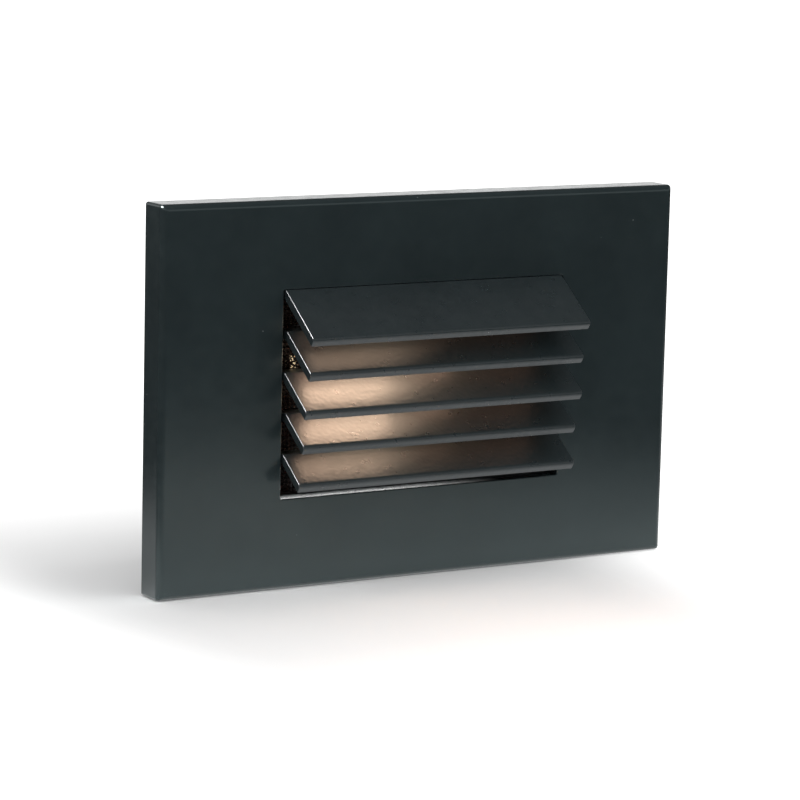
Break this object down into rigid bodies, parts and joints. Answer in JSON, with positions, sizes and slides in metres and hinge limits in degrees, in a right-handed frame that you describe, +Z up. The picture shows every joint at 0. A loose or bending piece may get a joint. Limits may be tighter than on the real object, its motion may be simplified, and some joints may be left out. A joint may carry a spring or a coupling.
{
  "type": "step light",
  "caption": "Recessed wall step light: louvred faceplate over a lens and diode housing, on a bracket for an electrical box laid sideways.",
  "frame": {"origin": "centre of the bracket's back face on the wall plane", "axes": "+X to the right seen from the front, +Y into the wall, +Z up; the faceplate faces -Y"},
  "size_m": [0.127, 0.0573, 0.0826],
  "materials": {
    "painted_casting": "semi-gloss charcoal powder coat",
    "painted_blades": "semi-gloss charcoal powder coat",
    "painted_frame": "satin charcoal powder coat",
    "foam": "closed-cell foam",
    "gasket_rubber": "matt",
    "lens": "textured inner face",
    "cast_aluminium": "as cast",
    "cover_sheet": "brushed",
    "reflector_white": "satin white",
    "led_board": "white solder resist",
    "led_phosphor": "yellow phosphor",
    "thermal_pad": "matt grey",
    "driver_board": "green solder resist",
    "transformer": "taped winding",
    "capacitor_sleeve": "shrink sleeve",
    "black_epoxy": "moulded",
    "ferrite": "sintered",
    "terminal_plastic": "moulded",
    "connector_plastic": "moulded",
    "wire_red": "insulation",
    "wire_black": "insulation",
    "grommet_rubber": "matt",
    "zinc_screws": "zinc plated",
    "black_screws": "black oxide",
    "zinc_sheet": "zinc plated sheet",
    "green_screw": "green dyed zinc"
  },
  "bodies": {
    "bracket": {"mounting_bracket": "zinc_sheet", "ground_screw": "green_screw"},
    "light_unit": {"faceplate": "painted_casting", "louver_slat_1": "painted_blades", "louver_slat_2": "painted_blades", "louver_slat_3": "painted_blades", "louver_slat_4": "painted_blades", "louver_slat_5": "painted_blades", "louver_frame": "painted_frame", "wall_gasket": "foam", "lens_front_gasket": "gasket_rubber", "lens_rear_gasket": "gasket_rubber", "rear_cover_gasket": "gasket_rubber", "lens": "lens", "rear_housing": "cast_aluminium", "rear_cover": "cover_sheet", "reflector_tray": "reflector_white", "led_board": "led_board", "led_chips": "led_phosphor", "thermal_pad": "thermal_pad", "driver_board": "driver_board", "driver_transformer": "transformer", "driver_capacitors": "capacitor_sleeve", "driver_rectifier": "black_epoxy", "driver_choke": "ferrite", "input_terminal": "terminal_plastic", "led_connector": "connector_plastic", "led_wire_positive": "wire_red", "led_wire_negative": "wire_black", "wire_grommet": "grommet_rubber", "lead_grommet": "grommet_rubber", "housing_screws": "zinc_screws", "light_engine_screws": "zinc_screws", "driver_board_screws": "zinc_screws", "rear_cover_screws": "zinc_screws", "set_screws": "black_screws"}
  },
  "joints": [
    {"name": "light_unit_pull", "type": "slide", "parent": "bracket", "child": "light_unit", "axis": [0, -1, 0], "range_m": [0, 0.045]}
  ]
}
